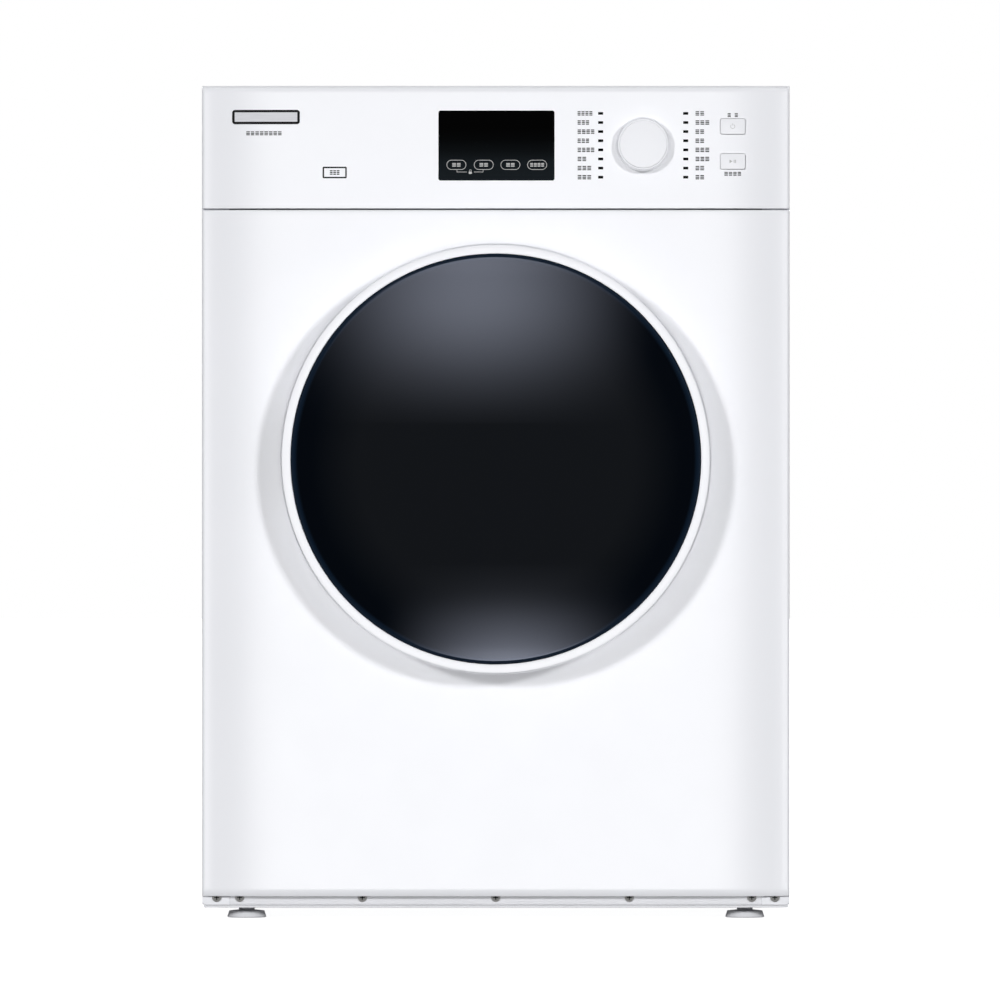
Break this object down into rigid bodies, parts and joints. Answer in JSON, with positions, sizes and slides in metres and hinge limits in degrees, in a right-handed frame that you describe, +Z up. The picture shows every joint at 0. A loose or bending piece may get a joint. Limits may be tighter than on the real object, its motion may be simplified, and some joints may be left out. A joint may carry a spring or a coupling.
{
  "type": "clothes dryer",
  "caption": "Front-loading vented clothes dryer with a round domed glass door, a turning drum behind it, a control fascia with selector and push keys, and levelling feet.",
  "frame": {"origin": "centre of the bounding box's footprint, on the floor under the machine", "axes": "+Z up, the door faces -Y, +X to the right of someone facing the door"},
  "size_m": [0.6, 0.6, 0.85],
  "materials": {
    "enamel": "smooth white baked enamel, satin gloss",
    "white_laminate": "white melamine on particle board, satin",
    "galvanised": "zinc coated sheet, faint spangle",
    "plinth_paint": "light grey satin paint",
    "fascia_plastic": "white ABS, fine satin gloss",
    "door_plastic": "white ABS, glossy",
    "black_glass": "nearly opaque black glass, polished",
    "display_glass": "black acrylic, polished",
    "lens_dark": "dark smoked lens",
    "clear_glass": "clear pressed glass",
    "lamp_lens": "frosted lens",
    "drum_steel": "galvanised drum sheet, fine brushed",
    "bright_steel": "bright zinc plated steel",
    "light_plastic": "light grey moulded plastic",
    "dark_plastic": "black moulded plastic",
    "filter_plastic": "blue-grey moulded plastic",
    "filter_mesh": "fine woven polyester mesh",
    "felt": "dense grey wool felt",
    "seal_rubber": "soft grey rubber, matt",
    "roller_rubber": "black rubber",
    "motor_paint": "die-cast shell, dark grey paint",
    "circuit": "green solder mask",
    "heater_wire": "heat tinted alloy fins",
    "bronze": "sintered bronze bush"
  },
  "bodies": {
    "cabinet": {"base_pan": "galvanised", "plinth_strip": "plinth_paint", "side_panel_left": "enamel", "side_panel_right": "enamel", "rear_panel": "galvanised", "rear_cover": "galvanised", "worktop": "white_laminate", "front_panel": "enamel", "control_fascia": "fascia_plastic", "display_window": "display_glass", "indicator_lenses": "lens_dark", "control_board": "circuit", "selector_encoder": "dark_plastic", "front_bulkhead": "light_plastic", "front_collar": "light_plastic", "sensor_bars": "bright_steel", "drum_lamp": "lamp_lens", "lint_duct": "light_plastic", "fan_housing": "light_plastic", "exhaust_duct": "light_plastic", "motor_body": "motor_paint", "motor_bracket": "galvanised", "drum_belt": "roller_rubber", "drum_bearing": "bronze", "rear_bulkhead": "galvanised", "felt_seals": "felt", "heater_housing": "galvanised", "heater_element": "heater_wire", "thermostats": "dark_plastic", "door_latch": "light_plastic", "hinge_bracket": "bright_steel", "hinge_pin": "bright_steel", "case_screws": "bright_steel", "cord_gland": "dark_plastic"},
    "door": {"door_ring": "door_plastic", "door_glass": "black_glass", "door_inner_frame": "door_plastic", "door_bowl": "clear_glass", "door_seal": "seal_rubber", "door_hook": "bright_steel", "hinge_leaf": "bright_steel"},
    "drum": {"drum_shell": "drum_steel", "drum_back": "drum_steel", "drum_lifters": "light_plastic", "drum_shaft": "bright_steel"},
    "motor_rotor": {"motor_shaft": "bright_steel", "blower_wheel": "dark_plastic"},
    "idler_lever": {"idler_arm": "galvanised"},
    "idler_wheel": {"idler_pulley": "dark_plastic"},
    "left_roller": {"roller_left": "roller_rubber"},
    "right_roller": {"roller_right": "roller_rubber"},
    "lint_filter": {"lint_filter_frame": "filter_plastic", "lint_filter_mesh": "filter_mesh"},
    "knob": {"selector_knob": "fascia_plastic"},
    "power_key": {"power_button": "fascia_plastic"},
    "start_key": {"start_button": "fascia_plastic"},
    "foot_front_left_body": {"foot_front_left": "light_plastic"},
    "foot_front_right_body": {"foot_front_right": "light_plastic"},
    "foot_rear_left_body": {"foot_rear_left": "light_plastic"},
    "foot_rear_right_body": {"foot_rear_right": "light_plastic"}
  },
  "joints": [
    {"name": "door_hinge", "type": "hinge", "parent": "cabinet", "child": "door", "pos_m": [-0.2, -0.266, 0.469], "axis": [0, 0, 1], "range_deg": [-140, 0]},
    {"name": "drum_spin", "type": "hinge", "parent": "cabinet", "child": "drum", "pos_m": [0, 0, 0.469], "axis": [0, 1, 0], "continuous": true},
    {"name": "motor_spin", "type": "hinge", "parent": "cabinet", "child": "motor_rotor", "pos_m": [0.19, 0, 0.098], "axis": [0, 1, 0], "continuous": true},
    {"name": "idler_swing", "type": "hinge", "parent": "cabinet", "child": "idler_lever", "pos_m": [0.13, 0.03, 0.045], "axis": [0, 1, 0], "range_deg": [-12, 0], "stiffness_Nm_per_rad": 2, "springref_deg": 17.19},
    {"name": "idler_spin", "type": "hinge", "parent": "idler_lever", "child": "idler_wheel", "pos_m": [0.1068, 0.02, 0.0981], "axis": [0, 1, 0], "continuous": true},
    {"name": "roller_left_spin", "type": "hinge", "parent": "cabinet", "child": "left_roller", "pos_m": [-0.17225, -0.148, 0.22301], "axis": [0, 1, 0], "continuous": true},
    {"name": "roller_right_spin", "type": "hinge", "parent": "cabinet", "child": "right_roller", "pos_m": [0.17225, -0.148, 0.22301], "axis": [0, 1, 0], "continuous": true},
    {"name": "filter_slide", "type": "slide", "parent": "cabinet", "child": "lint_filter", "axis": [0, 0, 1], "range_m": [0, 0.11]},
    {"name": "knob_turn", "type": "hinge", "parent": "cabinet", "child": "knob", "pos_m": [0.1504, -0.24, 0.79], "axis": [0, 1, 0], "continuous": true},
    {"name": "power_press", "type": "slide", "parent": "cabinet", "child": "power_key", "axis": [0, 1, 0], "range_m": [0, 0.0015], "stiffness_N_per_m": 600, "springref_m": -0.001},
    {"name": "start_press", "type": "slide", "parent": "cabinet", "child": "start_key", "axis": [0, 1, 0], "range_m": [0, 0.0015], "stiffness_N_per_m": 600, "springref_m": -0.001},
    {"name": "foot_front_left_adjust", "type": "slide", "parent": "cabinet", "child": "foot_front_left_body", "axis": [0, 0, -1], "range_m": [0, 0.015]},
    {"name": "foot_front_right_adjust", "type": "slide", "parent": "cabinet", "child": "foot_front_right_body", "axis": [0, 0, -1], "range_m": [0, 0.015]},
    {"name": "foot_rear_left_adjust", "type": "slide", "parent": "cabinet", "child": "foot_rear_left_body", "axis": [0, 0, -1], "range_m": [0, 0.015]},
    {"name": "foot_rear_right_adjust", "type": "slide", "parent": "cabinet", "child": "foot_rear_right_body", "axis": [0, 0, -1], "range_m": [0, 0.015]}
  ],
  "couplings": [
    {"joint": "motor_spin", "follows": "drum_spin", "ratio": 28},
    {"joint": "idler_spin", "follows": "drum_spin", "ratio": -15.556},
    {"joint": "roller_left_spin", "follows": "drum_spin", "ratio": -14},
    {"joint": "roller_right_spin", "follows": "drum_spin", "ratio": -14}
  ]
}
